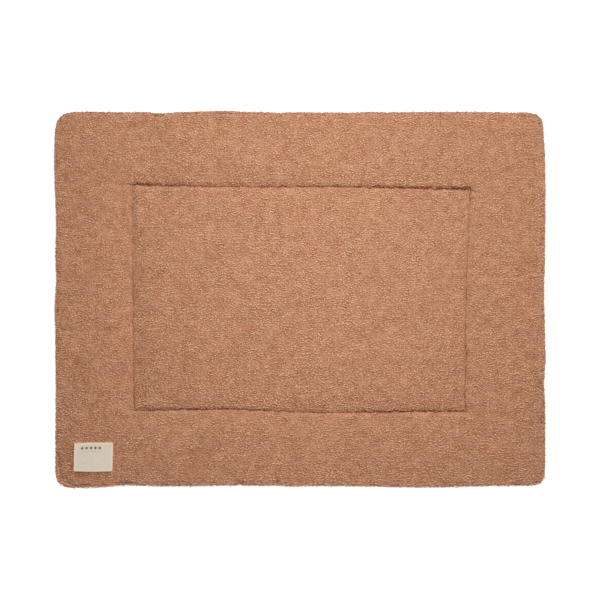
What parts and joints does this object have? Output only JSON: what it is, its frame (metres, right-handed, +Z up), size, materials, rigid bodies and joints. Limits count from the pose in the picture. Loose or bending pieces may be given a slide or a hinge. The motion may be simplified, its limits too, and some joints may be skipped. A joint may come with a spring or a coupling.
{
  "type": "playpen mat",
  "caption": "Padded rectangular playpen mat of curly teddy cloth with rounded corners, sewn through along an inner rectangle, with a small label at one corner.",
  "frame": {"origin": "middle of the underside, on the floor that the mat lies on", "axes": "+X along the mat's length, +Y across its width, +Z up out of the pile; the label lies at the -X, -Y corner"},
  "size_m": [0.9628, 0.7384, 0.0253],
  "materials": {
    "teddy_cloth": "short curly pile, matt, dusty terracotta",
    "label_cotton": "plain woven cotton, matt, natural cream"
  },
  "bodies": {
    "root": {"mat_pad": "teddy_cloth", "corner_label": "label_cotton"}
  },
  "joints": []
}
